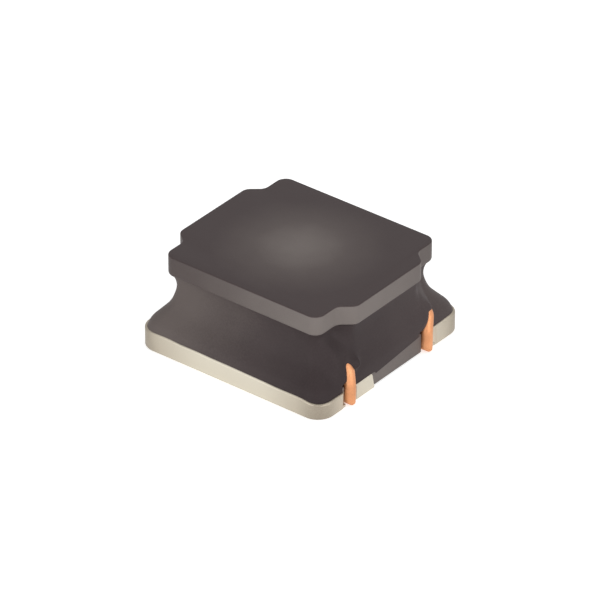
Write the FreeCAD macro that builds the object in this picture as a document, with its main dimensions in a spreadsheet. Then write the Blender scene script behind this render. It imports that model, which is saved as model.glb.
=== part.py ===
import FreeCAD, Part
import math
import os
import Sketcher

Vector = FreeCAD.Vector

# Sizes in millimetres, read from the photo at the scale of the 6 mm size class
SIZES = {
    "base_length": 6.00,
    "base_width": 5.88,
    "base_height": 0.57,
    "base_corner": 0.50,
    "plating": 0.085,
    "overall_height": 2.70,
    "cap_thickness": 0.59,
    "cap_width": 4.92,
    "cap_middle_length": 5.76,
    "cap_end_length": 4.98,
    "step_inner": 1.34,
    "step_outer": 1.66,
    "step_round": 0.28,
    "cap_corner": 0.30,
    "cap_edge_bevel": 0.03,
    "cap_under_bevel": 0.07,
    "post_radius": 1.12,
    "wire_radius": 0.165,
    "fit_clearance": 0.01,
    "stack_clearance": 0.02,
    "layer_gap": 0.03,
    "front_lead_place": 1.71,
    "rear_lead_place": 1.48,
    "lead_sink": 0.06,
    "lead_lean": 0.12,
    "lead_sway": 0.14,
    "lead_rise": 1.08,
    "lead_level_run": 0.45,
    "lead_ramp_run": 1.25,
    "ramp_bend": 0.50,
    "top_bend": 0.22,
    "groove_start": 1.05,
    "foot_start": 1.15,
    "solder_side": 0.07,
    "solder_below": 0.02,
    "front_band_end": 0.72,
    "front_band_slant": 0.12,
    "front_band_drop": 0.11,
    "front_band_full": 1.90,
    "front_band_low": 2.50,
    "front_pad_end": 0.66,
    "rear_band_end": 1.12,
    "rear_pad_end": 1.06,
    "waist_inset": 0.15,
    "skirt_ledge": 0.04,
}

# Share of the resin's height, of its flare out to the base and of its waist, from bottom to top
RESIN_RINGS = (
    (0.00, 1.00, 0.00),
    (0.12, 0.83, 0.05),
    (0.38, 0.31, 0.70),
    (0.70, 0.04, 1.00),
    (1.00, 0.00, 0.40),
)

doc = FreeCAD.newDocument("shielded_inductor")
sheet = doc.addObject("Spreadsheet::Sheet", "sizes")
for row, (name, value) in enumerate(SIZES.items(), start=1):
    sheet.set(f"A{row}", name)
    sheet.set(f"B{row}", str(value))
    sheet.setAlias(f"B{row}", name)
doc.recompute()


def size(name):
    """Value of one named size in the sheet."""
    return float(getattr(sheet, name))


def value_of(expression):
    """Number that an expression of sheet sizes has now."""
    total = 0.0
    for term in expression.replace("-", "+-").split("+"):
        term = term.strip()
        if not term:
            continue
        sign = -1.0 if term.startswith("-") else 1.0
        product = sign
        for factor in term.lstrip("-").strip().split("*"):
            factor = factor.strip()
            product *= size(factor) if factor in SIZES else float(factor)
        total += product
    return total


def bound(expression):
    """The same expression as the sheet's objects understand it."""
    words = []
    for word in expression.split():
        words.append(f"sizes.{word}" if word in SIZES else word)
    return " ".join(words)


def origin_plane(body, role):
    """One of the body's own three origin planes."""
    for feature in body.Origin.OriginFeatures:
        if feature.Role == role:
            return feature
    raise ValueError(role)


def polygon_sketch(body, name, role, level, corners):
    """Closed polygon on an origin plane, each corner held by sheet expressions.

    A corner is (side, expression, side, expression), with side 1 or -1.
    """
    sketch = body.newObject("Sketcher::SketchObject", name)
    sketch.AttachmentSupport = (origin_plane(body, role), "")
    sketch.MapMode = "FlatFace"
    sketch.setExpression("AttachmentOffset.Base.z", bound(level))
    places = []
    for side_u, across, side_v, along in corners:
        places.append(Vector(side_u * value_of(across), side_v * value_of(along), 0))
    count = len(places)
    for index in range(count):
        line = Part.LineSegment(places[index], places[(index + 1) % count])
        sketch.addGeometry(line, False)
    for index in range(count):
        following = (index + 1) % count
        sketch.addConstraint(Sketcher.Constraint("Coincident", index, 2, following, 1))
    for index, (side_u, across, side_v, along) in enumerate(corners):
        for kind, side, words in (("DistanceX", side_u, across), ("DistanceY", side_v, along)):
            ends = (-1, 1, index, 1) if side > 0 else (index, 1, -1, 1)
            number = sketch.addConstraint(Sketcher.Constraint(kind, *ends, value_of(words)))
            sketch.setExpression(f"Constraints[{number}]", bound(words))
    return sketch


def pad(body, sketch, name, length):
    """Pad of a sketch, its length held by a sheet expression."""
    feature = body.newObject("PartDesign::Pad", name)
    feature.Profile = sketch
    feature.setExpression("Length", bound(length))
    body.Tip = feature
    doc.recompute()
    return feature


def pocket(body, sketch, name, length):
    """Pocket along the sketch's own normal, checked to take something away."""
    before = body.Shape.Volume
    feature = body.newObject("PartDesign::Pocket", name)
    feature.Profile = sketch
    feature.Reversed = True
    feature.setExpression("Length", bound(length))
    body.Tip = feature
    doc.recompute()
    if not body.Shape.Volume < before:
        raise RuntimeError(f"{name} takes nothing away")
    return feature


def soften(body, kind, name, measure, chosen):
    """Fillet or chamfer of the edges that a test chooses, its size held by the sheet."""
    base = body.Tip
    picked = []
    for number, edge in enumerate(base.Shape.Edges, start=1):
        if chosen(edge):
            picked.append(f"Edge{number}")
    if not picked:
        raise RuntimeError(f"{name} finds no edges")
    feature = body.newObject(f"PartDesign::{kind}", name)
    feature.Base = (base, picked)
    feature.setExpression("Radius" if kind == "Fillet" else "Size", bound(measure))
    body.Tip = feature
    doc.recompute()
    return feature


def upright_at(across, along, low, high):
    """Test for a vertical edge at a plan position on any side of the axes."""

    def test(edge):
        box = edge.BoundBox
        upright = box.XLength < 1e-4 and box.YLength < 1e-4 and box.ZLength > 1e-4
        placed = abs(abs(box.XMin) - across) < 1e-3 and abs(abs(box.YMin) - along) < 1e-3
        return upright and placed and box.ZMin > low - 1e-3 and box.ZMax < high + 1e-3

    return test


def level_at(height):
    """Test for an edge that lies wholly at one height."""

    def test(edge):
        box = edge.BoundBox
        return abs(box.ZMin - height) < 1e-3 and abs(box.ZMax - height) < 1e-3

    return test


def about_axis(edge, radius):
    """Whether an edge stays within a radius of the upright axis."""
    box = edge.BoundBox
    return max(-box.XMin, box.XMax, -box.YMin, box.YMax) < radius + 1e-3


def rounded_path(points, radii):
    """Lines and arcs through points, with one radius for each inner point."""
    pieces = []
    start = points[0]
    for index, radius in enumerate(radii, start=1):
        corner = points[index]
        back = (points[index - 1] - corner).normalize()
        ahead = (points[index + 1] - corner).normalize()
        half = back.getAngle(ahead) / 2
        reach = radius / math.tan(half)
        centre = corner + (back + ahead).normalize() * (radius / math.sin(half))
        first = corner + back * reach
        last = corner + ahead * reach
        middle = centre + (corner - centre).normalize() * radius
        pieces.append((start, first))
        pieces.append((first, middle, last))
        start = last
    pieces.append((start, points[-1]))
    return pieces


def wire_section(centre, heading, radius, sides=0):
    """Outline square to a heading: a circle, or a polygon inside it for hidden turns."""
    if not sides:
        return Part.Wire([Part.Circle(centre, heading, radius).toShape()])
    level = Vector(0, 0, 1).cross(heading).normalize()
    upright = Vector(heading).normalize().cross(level)
    corners = []
    for step in range(sides + 1):
        angle = 2 * math.pi * (step + 0.5) / sides
        reach = level * math.cos(angle) + upright * math.sin(angle)
        corners.append(centre + reach * radius)
    return Part.makePolygon(corners)


def bar(pieces, outline):
    """Solids swept by one outline along lines and arcs that run smoothly on."""
    solids = []
    for piece in pieces:
        face = Part.Face(outline)
        outline = outline.copy()
        if len(piece) == 2:
            run = piece[1] - piece[0]
            solids.append(face.extrude(run))
            outline.translate(run)
            continue
        centre = Part.Circle(*piece).Center
        ray = piece[0] - centre
        half_ray = piece[1] - centre
        axis = ray.cross(half_ray)
        turn = 2 * math.degrees(ray.getAngle(half_ray))
        solids.append(face.revolve(centre, axis, turn))
        outline.rotate(centre, axis, turn)
    return solids


def straight_start_bar(pieces, radius, sides=0):
    """Solids of one bar whose first piece is a line."""
    heading = pieces[0][1] - pieces[0][0]
    return bar(pieces, wire_section(pieces[0][0], heading, radius, sides))


def lead_bar(pieces, radius):
    """Solids of one lead, round as far as the middle of its level run and flat-sided inside."""
    start, finish = pieces[6]
    middle = (start + finish) * 0.5
    outside = pieces[:6] + [(start, middle)]
    inside = [(middle, finish)] + pieces[7:]
    return straight_start_bar(outside, radius) + straight_start_bar(inside, radius, HIDDEN_SIDES)


def inner_radius():
    """Radius of the inner layer's centre line."""
    return size("post_radius") + size("stack_clearance") + size("wire_radius")


def outer_radius():
    """Radius of the outer layer's centre line."""
    return inner_radius() + 2 * size("wire_radius") + size("layer_gap")


def bore_radius():
    """Radius of the resin's bore round the winding."""
    return outer_radius() + size("wire_radius") + size("layer_gap")


def cap_underside():
    """Height of the top flange's lower face."""
    return size("overall_height") - size("cap_thickness")


def winding_levels():
    """Heights of the four stacked turns, lowest first."""
    low = size("base_height") + size("stack_clearance") + size("wire_radius")
    high = cap_underside() - size("stack_clearance") - size("wire_radius")
    return [low + (high - low) * step / 3 for step in range(4)]


def touch_angle(place, radius, side):
    """Angle at which the line from the top of a lead to a turn touches it."""
    stand = value_of(LEAD_STAND) - size("lead_lean")
    top = place + size("lead_sway")
    reach = math.hypot(stand, top)
    return math.atan2(top, stand) + side * math.acos(radius / reach)


def on_turn(radius, angle, height):
    """Point of a turn's centre line."""
    return Vector(radius * math.cos(angle), radius * math.sin(angle), height)


def lead_path(place, touch):
    """Lead from its soldered foot, up the side with a slight lean, and in to the turn."""
    foot = size("wire_radius") + size("solder_below")
    stand = value_of(LEAD_STAND)
    top = Vector(stand - size("lead_lean"), place + size("lead_sway"), size("lead_rise"))
    inward = Vector(touch.x - top.x, touch.y - top.y, 0).normalize()
    level = top + inward * size("lead_level_run")
    low = top + inward * size("lead_ramp_run")
    low.z = touch.z
    points = [
        Vector(size("foot_start"), place, foot),
        Vector(stand, place, foot),
        Vector(stand, place, size("base_height")),
        top,
        level,
        low,
        touch,
    ]
    bends = [
        value_of(FOOT_BEND),
        size("ramp_bend"),
        size("top_bend"),
        size("ramp_bend"),
        size("ramp_bend"),
    ]
    return rounded_path(points, bends)


def half_turn(start, finish, side):
    """Half circle from one side of the post to the other."""
    centre = (start + finish) * 0.5
    middle = centre + Vector(0, side * (finish - start).Length / 2, 0)
    return (start, middle, finish)


def flat_turn(radius, first, last, height):
    """Part of a level turn between two angles."""
    ends = (first, (first + last) / 2, last)
    return tuple(on_turn(radius, angle, height) for angle in ends)


def rear_lead():
    """Lead that starts the inner layer."""
    angle = touch_angle(size("rear_lead_place"), inner_radius(), 1)
    return angle, lead_path(
        size("rear_lead_place"), on_turn(inner_radius(), angle, winding_levels()[0])
    )


def front_lead():
    """Lead that ends the outer layer."""
    angle = touch_angle(-size("front_lead_place"), outer_radius(), -1)
    return angle, lead_path(
        -size("front_lead_place"), on_turn(outer_radius(), angle, winding_levels()[1])
    )


def coil_shape():
    """Two-layer winding of one wire, up the inner layer and down the outer one.

    The turns that the resin hides are swept with a few flat sides, to spare facets.
    """
    levels = winding_levels()
    inner = inner_radius()
    outer = outer_radius()
    start_angle, first_lead = rear_lead()
    end_angle, last_lead = front_lead()
    path = [flat_turn(inner, start_angle, math.pi, levels[0])]
    for below, above in zip(levels, levels[1:]):
        path.append(half_turn(Vector(-inner, 0, below), Vector(inner, 0, above), -1))
        reach = outer if above == levels[-1] else inner
        path.append(half_turn(Vector(inner, 0, above), Vector(-reach, 0, above), 1))
    for above, below in ((levels[3], levels[2]), (levels[2], levels[1])):
        path.append(half_turn(Vector(-outer, 0, above), Vector(outer, 0, below), -1))
        path.append(half_turn(Vector(outer, 0, below), Vector(-outer, 0, below), 1))
    path.append(flat_turn(outer, math.pi, end_angle + 2 * math.pi, levels[1]))
    radius = size("wire_radius")
    start = path[0][0]
    heading = Vector(-start.y, start.x, 0)
    turns = bar(path, wire_section(start, heading, radius, HIDDEN_SIDES))
    leads = lead_bar(first_lead, radius) + lead_bar(last_lead, radius)
    return turns[0].multiFuse(turns[1:] + leads)


def rounded_outline(corners, radii, height):
    """Closed wire through plan corners, each rounded by its own radius."""
    count = len(corners)
    arcs = []
    for index, (corner, radius) in enumerate(zip(corners, radii)):
        around = [corners[index - 1], corner, corners[(index + 1) % count]]
        points = [Vector(x, y, height) for x, y in around]
        arcs.append(rounded_path(points, [radius])[1])
    edges = []
    for index, arc in enumerate(arcs):
        edges.append(Part.LineSegment(arcs[index - 1][-1], arc[0]).toShape())
        edges.append(Part.Arc(*arc).toShape())
    return Part.Wire(edges)


def resin_ring(share, flare, waist):
    """Outline of the resin at a share of its height."""
    skirt_x = size("base_length") / 2 - size("skirt_ledge")
    skirt_y = size("base_width") / 2 - size("skirt_ledge")
    skirt_corner = size("base_corner") - size("skirt_ledge")
    inset = size("waist_inset") * waist
    least_step = size("skirt_ledge")

    def blend(upper, lower):
        return upper + (lower - upper) * flare

    middle = blend(size("cap_middle_length") / 2, skirt_x) - inset
    end = blend(size("cap_end_length") / 2, skirt_x - least_step) - inset
    side = blend(size("cap_width") / 2, skirt_y) - inset
    quarter = [(middle, size("step_inner")), (end, size("step_outer")), (end, side)]
    rounds = [
        size("step_round"),
        size("step_round"),
        blend(size("cap_corner"), skirt_corner),
    ]
    corners = list(quarter)
    corners += [(-x, y) for x, y in reversed(quarter)]
    corners += [(-x, -y) for x, y in quarter]
    corners += [(x, -y) for x, y in reversed(quarter)]
    radii = rounds + rounds[::-1] + rounds + rounds[::-1]
    height = size("base_height") + share * (cap_underside() - size("base_height"))
    return rounded_outline(corners, radii, height)


def resin_shape():
    """Resin between the flanges: waisted outside, bored for the winding, pierced by the leads."""
    rings = [resin_ring(*ring) for ring in RESIN_RINGS]
    block = Part.makeLoft(rings, True, False)
    depth = cap_underside() - size("base_height")
    floor = Vector(0, 0, size("base_height"))
    bored = block.cut(Part.makeCylinder(bore_radius(), depth, floor))
    channel = size("wire_radius") + size("fit_clearance")
    channel = channel / math.cos(math.pi / HIDDEN_SIDES)
    for _, path in (rear_lead(), front_lead()):
        bored = bored.cut(straight_start_bar(path, channel, HIDDEN_SIDES))
    solids = sorted(bored.Solids, key=lambda piece: piece.Volume)
    return solids[-1]


def shape_object(name, shape):
    """Document object that holds a computed shape in place."""
    holder = doc.addObject("Part::Feature", name)
    holder.Shape = shape
    holder.Placement = FreeCAD.Placement()
    return holder


def flange_polygon(body, name, half_x, half_y, level):
    """Rectangle about the origin."""
    corners = [
        (-1, half_x, -1, half_y),
        (1, half_x, -1, half_y),
        (1, half_x, 1, half_y),
        (-1, half_x, 1, half_y),
    ]
    return polygon_sketch(body, name, "XY_Plane", level, corners)


CORE_X = "base_length * 0.5 - plating"
CORE_Y = "base_width * 0.5 - plating"
CORE_CORNER = "base_corner - plating"
PLATED_X = "base_length * 0.5"
PLATED_Y = "base_width * 0.5"
GROOVE_SIDE = "wire_radius + solder_side"
GROOVE_ROOF = "2 * wire_radius + solder_below + fit_clearance"
NOTCH_SIDE = "wire_radius + fit_clearance"
BEYOND = "base_length"
HIDDEN_SIDES = 8
LEAD_STAND = "base_length * 0.5 - lead_sink"
FOOT_BEND = "wire_radius + 3 * fit_clearance"
LESS_FOOT_BEND = "wire_radius - 3 * fit_clearance"


def cut_lead_ways(body, side, place):
    """Groove beneath and notch up the side for one lead, cut from a body."""
    groove_corners = [
        (side, f"{place} - {GROOVE_SIDE.replace(' + ', ' - ')}", -1, "plating"),
        (side, f"{place} + {GROOVE_SIDE}", -1, "plating"),
        (side, f"{place} + {GROOVE_SIDE}", 1, GROOVE_ROOF),
        (side, f"{place} - {GROOVE_SIDE.replace(' + ', ' - ')}", 1, GROOVE_ROOF),
    ]
    groove = polygon_sketch(body, f"{place}_groove", "YZ_Plane", "groove_start", groove_corners)
    pocket(body, groove, f"{place}_groove_cut", f"{LEAD_STAND} - wire_radius - groove_start")
    inner = f"{LEAD_STAND} - wire_radius - fit_clearance"
    near = f"{place} - {NOTCH_SIDE.replace(' + ', ' - ')}"
    far = f"{place} + {NOTCH_SIDE}"
    notch_corners = [
        (1, inner, side, near),
        (1, BEYOND, side, near),
        (1, BEYOND, side, far),
        (1, inner, side, far),
    ]
    notch = polygon_sketch(body, f"{place}_notch", "XY_Plane", "0 * plating", notch_corners)
    pocket(body, notch, f"{place}_notch_cut", "base_height")


def build_core():
    """Drum core: base flange, post and notched top flange in one piece of ferrite."""
    body = doc.addObject("PartDesign::Body", "drum_core")
    base = flange_polygon(body, "base_outline", CORE_X, CORE_Y, "plating")
    pad(body, base, "base_flange", "base_height - plating")
    low, high = size("plating"), size("base_height")
    soften(
        body,
        "Fillet",
        "base_corners",
        CORE_CORNER,
        upright_at(value_of(CORE_X), value_of(CORE_Y), low, high),
    )
    cut_lead_ways(body, -1, "front_lead_place")
    cut_lead_ways(body, 1, "rear_lead_place")
    post = body.newObject("Sketcher::SketchObject", "post_outline")
    post.AttachmentSupport = (origin_plane(body, "XY_Plane"), "")
    post.MapMode = "FlatFace"
    post.setExpression("AttachmentOffset.Base.z", bound("base_height"))
    post.addGeometry(Part.Circle(Vector(0, 0, 0), Vector(0, 0, 1), size("post_radius")), False)
    post.addConstraint(Sketcher.Constraint("Coincident", 0, 3, -1, 1))
    number = post.addConstraint(Sketcher.Constraint("Radius", 0, size("post_radius")))
    post.setExpression(f"Constraints[{number}]", bound("post_radius"))
    pad(body, post, "post", "overall_height - cap_thickness - base_height")
    middle = "cap_middle_length * 0.5"
    end = "cap_end_length * 0.5"
    width = "cap_width * 0.5"
    quarter = [(middle, "step_inner"), (end, "step_outer"), (end, width)]
    corners = [(1, x, 1, y) for x, y in quarter]
    corners += [(-1, x, 1, y) for x, y in reversed(quarter)]
    corners += [(-1, x, -1, y) for x, y in quarter]
    corners += [(1, x, -1, y) for x, y in reversed(quarter)]
    level = "overall_height - cap_thickness"
    cap = polygon_sketch(body, "cap_outline", "XY_Plane", level, corners)
    pad(body, cap, "top_flange", "cap_thickness")
    low, high = cap_underside(), size("overall_height")
    inner_corner = upright_at(value_of(middle), size("step_inner"), low, high)
    outer_corner = upright_at(value_of(end), size("step_outer"), low, high)
    soften(
        body,
        "Fillet",
        "step_rounds",
        "step_round",
        lambda edge: inner_corner(edge) or outer_corner(edge),
    )
    soften(
        body,
        "Fillet",
        "cap_corners",
        "cap_corner",
        upright_at(value_of(end), value_of(width), low, high),
    )
    top_edge = level_at(size("overall_height"))
    soften(body, "Chamfer", "cap_top_edge", "cap_edge_bevel", top_edge)
    lower_edge = level_at(cap_underside())
    soften(
        body,
        "Chamfer",
        "cap_lower_edge",
        "cap_under_bevel",
        lambda edge: lower_edge(edge) and not about_axis(edge, size("post_radius")),
    )
    return body


def build_terminal(name, side, place, band_end, pad_end):
    """Plated terminal: pad beneath one edge of the core, with a band round its side."""
    body = doc.addObject("PartDesign::Body", name)
    outer = [
        (-1, PLATED_X, side, PLATED_Y),
        (1, PLATED_X, side, PLATED_Y),
        (1, PLATED_X, side, band_end),
        (1, CORE_X, side, band_end),
        (1, CORE_X, side, pad_end),
        (-1, CORE_X, side, pad_end),
        (-1, CORE_X, side, band_end),
        (-1, PLATED_X, side, band_end),
    ]
    outline = polygon_sketch(body, f"{name}_outline", "XY_Plane", "0 * plating", outer)
    pad(body, outline, f"{name}_block", "base_height")
    inner = [
        (-1, CORE_X, side, CORE_Y),
        (1, CORE_X, side, CORE_Y),
        (1, CORE_X, side, f"{pad_end} - plating"),
        (-1, CORE_X, side, f"{pad_end} - plating"),
    ]
    inside = polygon_sketch(body, f"{name}_inside", "XY_Plane", "plating", inner)
    pocket(body, inside, f"{name}_inside_cut", "base_height")
    high = size("base_height")
    soften(
        body,
        "Fillet",
        f"{name}_inner_corners",
        CORE_CORNER,
        upright_at(value_of(CORE_X), value_of(CORE_Y), size("plating"), high),
    )
    soften(
        body,
        "Fillet",
        f"{name}_corners",
        "base_corner",
        upright_at(value_of(PLATED_X), value_of(PLATED_Y), 0, high),
    )
    cut_lead_ways(body, side, place)
    return body


def trim_front_band(body):
    """Lower the front band where it turns the corner to the leads, and slant its end there."""
    dropped = "base_height - front_band_drop"
    lowered = [
        (1, "front_band_full", 1, "base_height"),
        (1, "front_band_low", 1, dropped),
        (1, BEYOND, 1, dropped),
        (1, BEYOND, 1, BEYOND),
        (1, "front_band_full", 1, BEYOND),
    ]
    step = polygon_sketch(body, "front_band_step", "XZ_Plane", "0 * plating", lowered)
    pocket(body, step, "front_band_step_cut", BEYOND)
    slanted = [
        (-1, "front_band_end", 1, "0 * plating"),
        (1, BEYOND, 1, "0 * plating"),
        (1, BEYOND, 1, "base_height"),
        (-1, "front_band_end + front_band_slant", 1, "base_height"),
    ]
    slant = polygon_sketch(body, "front_band_slant_side", "YZ_Plane", CORE_X, slanted)
    pocket(body, slant, "front_band_slant_cut", BEYOND)


def build_solder(name, side, place):
    """Solder that fills a groove round the lead's foot."""
    body = doc.addObject("PartDesign::Body", name)
    near = f"{place} - {GROOVE_SIDE.replace(' + ', ' - ')}"
    far = f"{place} + {GROOVE_SIDE}"
    fill = [
        (side, near, 1, "0 * plating"),
        (side, far, 1, "0 * plating"),
        (side, far, 1, GROOVE_ROOF),
        (side, near, 1, GROOVE_ROOF),
    ]
    outline = polygon_sketch(body, f"{name}_outline", "YZ_Plane", "groove_start", fill)
    pad(body, outline, f"{name}_block", f"{LEAD_STAND} - {LESS_FOOT_BEND} - groove_start")
    way = body.newObject("Sketcher::SketchObject", f"{name}_wire")
    way.AttachmentSupport = (origin_plane(body, "YZ_Plane"), "")
    way.MapMode = "FlatFace"
    way.setExpression("AttachmentOffset.Base.z", bound("foot_start"))
    foot = "wire_radius + solder_below"
    centre = Vector(side * size(place), value_of(foot), 0)
    way.addGeometry(Part.Circle(centre, Vector(0, 0, 1), size("wire_radius")), False)
    ends = (-1, 1, 0, 3) if side > 0 else (0, 3, -1, 1)
    rules = (
        (Sketcher.Constraint("DistanceX", *ends, size(place)), place),
        (Sketcher.Constraint("DistanceY", -1, 1, 0, 3, value_of(foot)), foot),
        (Sketcher.Constraint("Radius", 0, size("wire_radius")), "wire_radius"),
    )
    for rule, words in rules:
        number = way.addConstraint(rule)
        way.setExpression(f"Constraints[{number}]", bound(words))
    pocket(body, way, f"{name}_wire_cut", BEYOND)
    return body


def check(item):
    """Stop when an object is in error or its shape is not one sound solid."""
    if "Invalid" in item.State or "Error" in item.State:
        raise RuntimeError(f"{item.Name} is in state {item.State}")
    if item.isDerivedFrom("Part::Feature") and not item.isDerivedFrom("Sketcher::SketchObject"):
        if item.Shape.isNull() or not item.Shape.isValid():
            raise RuntimeError(f"{item.Name} has no sound shape")


nodes = [
    build_core(),
    build_terminal("terminal_front", -1, "front_lead_place", "front_band_end", "front_pad_end"),
    build_terminal("terminal_rear", 1, "rear_lead_place", "rear_band_end", "rear_pad_end"),
    build_solder("solder_joint_front", -1, "front_lead_place"),
    build_solder("solder_joint_rear", 1, "rear_lead_place"),
    shape_object("coil", coil_shape()),
    shape_object("magnetic_resin", resin_shape()),
]
trim_front_band(nodes[1])
doc.recompute()
for item in doc.Objects:
    check(item)
os.makedirs("parts", exist_ok=True)
for node in nodes:
    node.Placement = FreeCAD.Placement()
    node.Label = node.Name
    print(node.Label, len(node.Shape.Solids), round(node.Shape.Volume, 4))
    node.Shape.exportStep(f"parts/{node.Label}.step")
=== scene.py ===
import logging
import math
from dataclasses import dataclass
from enum import Enum

import bpy
import numpy as np
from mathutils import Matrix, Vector


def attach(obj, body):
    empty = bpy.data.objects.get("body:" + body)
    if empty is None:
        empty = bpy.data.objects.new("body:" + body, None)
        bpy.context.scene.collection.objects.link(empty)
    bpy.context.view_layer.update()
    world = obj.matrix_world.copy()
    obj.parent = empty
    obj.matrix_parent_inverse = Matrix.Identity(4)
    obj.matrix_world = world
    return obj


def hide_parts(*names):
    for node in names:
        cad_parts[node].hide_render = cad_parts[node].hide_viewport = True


# A shielded surface-mount inductor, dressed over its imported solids. Sizes are in
# millimetres in the classes and become metres when a mesh is made. The frame is the
# CAD's: +Z up from the board, +X towards the side where both leads come out.

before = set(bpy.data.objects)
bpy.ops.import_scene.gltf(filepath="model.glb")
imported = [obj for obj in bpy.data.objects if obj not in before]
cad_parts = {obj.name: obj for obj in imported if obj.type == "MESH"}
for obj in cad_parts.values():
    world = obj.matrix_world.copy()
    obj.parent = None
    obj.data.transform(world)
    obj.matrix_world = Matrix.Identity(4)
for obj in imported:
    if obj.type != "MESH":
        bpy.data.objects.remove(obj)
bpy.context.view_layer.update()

LOG = logging.getLogger("inductor")
MM = 0.001
PHOTO_PIXELS = 600
SENSOR_MM = 36.0

# Points on a round edge, and the angle past which an edge is drawn sharp.
EDGE_POINTS = 7
CREASE_DEGREES = 40.0

# The unevenness of cast and plated faces: the number of waves, how much tighter or
# looser than the typical one each may be, and the gain that brings their mean to about 1.
RIPPLE_WAVES = 14
RIPPLE_RANGE = (0.6, 1.6)
RIPPLE_GAIN = 2.4


class PaintedLight(Enum):
    """Painted light and shade that lies over a finish, by place on the object."""

    # Painted shade: darker at the upright corners.
    CORNERS = "duller at the upright corners"
    # Painted shade: darker towards the front +X corner.
    SHADED_FRONT = "darker towards the front +X corner"
    # Painted light: lighter towards the front +X corner.
    LIT_FRONT = "lighter towards the front +X corner"


# A lean of painted light and shade towards one corner runs with this part of y, less x. Each
# lean has the places where it starts and ends, and where they aren't 0 and 1, its tones there.
PAINTED_LEAN_PART = 0.60
PAINTED_LEAN_ENDS: dict[PaintedLight, dict[str, float]] = {
    PaintedLight.SHADED_FRONT: {"From Min": -4.6 * MM, "From Max": 0.6 * MM},
    PaintedLight.LIT_FRONT: {
        "From Min": -4.2 * MM,
        "From Max": 1.2 * MM,
        "To Min": 1.0,
        "To Max": 0.35,
    },
}

# Product of x and y at an upright corner, in square millimetres, where painted shade darkens
# the corners most.
SHADED_CORNER_PRODUCT = 9.0

# A painted highlight makes the lapped top paler in its middle: radius of that patch, its tone,
# and the height over which the lapped face takes over from the sides.
HIGHLIGHT_RADIUS = 3.0
HIGHLIGHT_TONE = 0.75
HIGHLIGHT_BLEND = 0.025

# Tones at which a finish is dark, plain and pale.
TONE_STOPS = (0.2, 0.5, 0.8)


class Edge(Enum):
    """The two board edges that carry a terminal and a lead, by the sign of their y."""

    FRONT = -1
    REAR = 1


def corner_arcs(
    corners: np.ndarray, back: np.ndarray, ahead: np.ndarray, radii: np.ndarray, arc_points: int
) -> np.ndarray:
    """Arcs that round off corners, in the plane or in space.

    An arc touches both sides of its corner: its centre lies on the corner's bisector at
    radius over sin(half angle), and its points are the two end spokes mixed by sines of
    their share of the sweep.

    Args:
        corners: Corner points, shape (k, d).
        back: Lines from them to the points before, shape (k, d).
        ahead: Lines from them to the points after, shape (k, d).
        radii: Radii of the arcs.
        arc_points: Points on each arc.

    Returns:
        Points, shape (k, arc_points, d).
    """
    back = back / np.linalg.norm(back, axis=1, keepdims=True)
    ahead = ahead / np.linalg.norm(ahead, axis=1, keepdims=True)
    half = np.arccos(np.clip((back * ahead).sum(axis=1), -1, 1)) / 2
    bisector = back + ahead
    bisector /= np.linalg.norm(bisector, axis=1, keepdims=True)
    centre = corners + bisector * (radii / np.sin(half))[:, None]
    reach = (radii / np.tan(half))[:, None]
    first, last = corners + back * reach - centre, corners + ahead * reach - centre
    sweep = (math.pi - 2 * half)[:, None, None]
    share = np.linspace(0, 1, arc_points)[None, :, None]
    mixed = first[:, None] * np.sin((1 - share) * sweep) + last[:, None] * np.sin(share * sweep)
    return centre[:, None] + mixed / np.sin(sweep)


def rounded_outline(
    corners: np.ndarray, radii: np.ndarray, arc_points: int, run_points: int
) -> np.ndarray:
    """Closed plan outline with round corners, and a run of even steps from each to the next.

    Args:
        corners: Corner points in order, shape (k, 2).
        radii: One radius for each corner.
        arc_points: Points on each arc.
        run_points: Points inside each straight run.

    Returns:
        Points in order, shape (k * (arc_points + run_points), 2).
    """
    back, ahead = (np.roll(corners, step, axis=0) - corners for step in (1, -1))
    arcs = corner_arcs(corners, back, ahead, radii, arc_points)
    share = np.linspace(0, 1, run_points + 2)[1:-1, None]
    ends = np.roll(arcs[:, :1], -1, axis=0)
    runs = arcs[:, -1:] + (ends - arcs[:, -1:]) * share
    return np.concatenate([arcs, runs], axis=1).reshape(-1, 2)


def outward(outline: np.ndarray) -> np.ndarray:
    """Unit normals of a closed outline that runs anticlockwise.

    Each is the chord between the two neighbours, turned a quarter right.

    Args:
        outline: Points in order, shape (n, 2).

    Returns:
        Normals, shape (n, 2).
    """
    chord = np.roll(outline, -1, axis=0) - np.roll(outline, 1, axis=0)
    normal = np.stack([chord[:, 1], -chord[:, 0]], axis=1)
    return normal / np.linalg.norm(normal, axis=1, keepdims=True)


def edge_profile(low: float, high: float, low_round: float, high_round: float) -> np.ndarray:
    """Side of a slab with round edges, as (inset, height) pairs from bottom to top.

    Each edge is a quarter circle: inset r(1 - cos t), height r sin t from where it begins.

    Args:
        low: Height of the lower face.
        high: Height of the upper face.
        low_round: Radius of the lower edge.
        high_round: Radius of the upper edge.

    Returns:
        Pairs, shape (n, 2).
    """
    turn = np.linspace(0, math.pi / 2, EDGE_POINTS)
    sine, cosine = 1 - np.sin(turn), 1 - np.cos(turn)
    lower = np.stack([low_round * sine, low + low_round * cosine], 1)
    upper = np.stack([high_round * cosine, high - high_round * sine], 1)
    return np.concatenate([lower, upper])


def stacked(outline: np.ndarray, profile: np.ndarray) -> np.ndarray:
    """Rings of an outline set in along its normals and lifted, one for each profile pair.

    Args:
        outline: Plan points, shape (n, 2).
        profile: (inset, height) pairs, shape (m, 2).

    Returns:
        Grid of points, shape (m, n, 3).
    """
    plan = outline[None] - profile[:, 0, None, None] * outward(outline)[None]
    height = np.broadcast_to(profile[:, 1, None, None], plan.shape[:2] + (1,))
    return np.concatenate([plan, height], axis=2)


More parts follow.
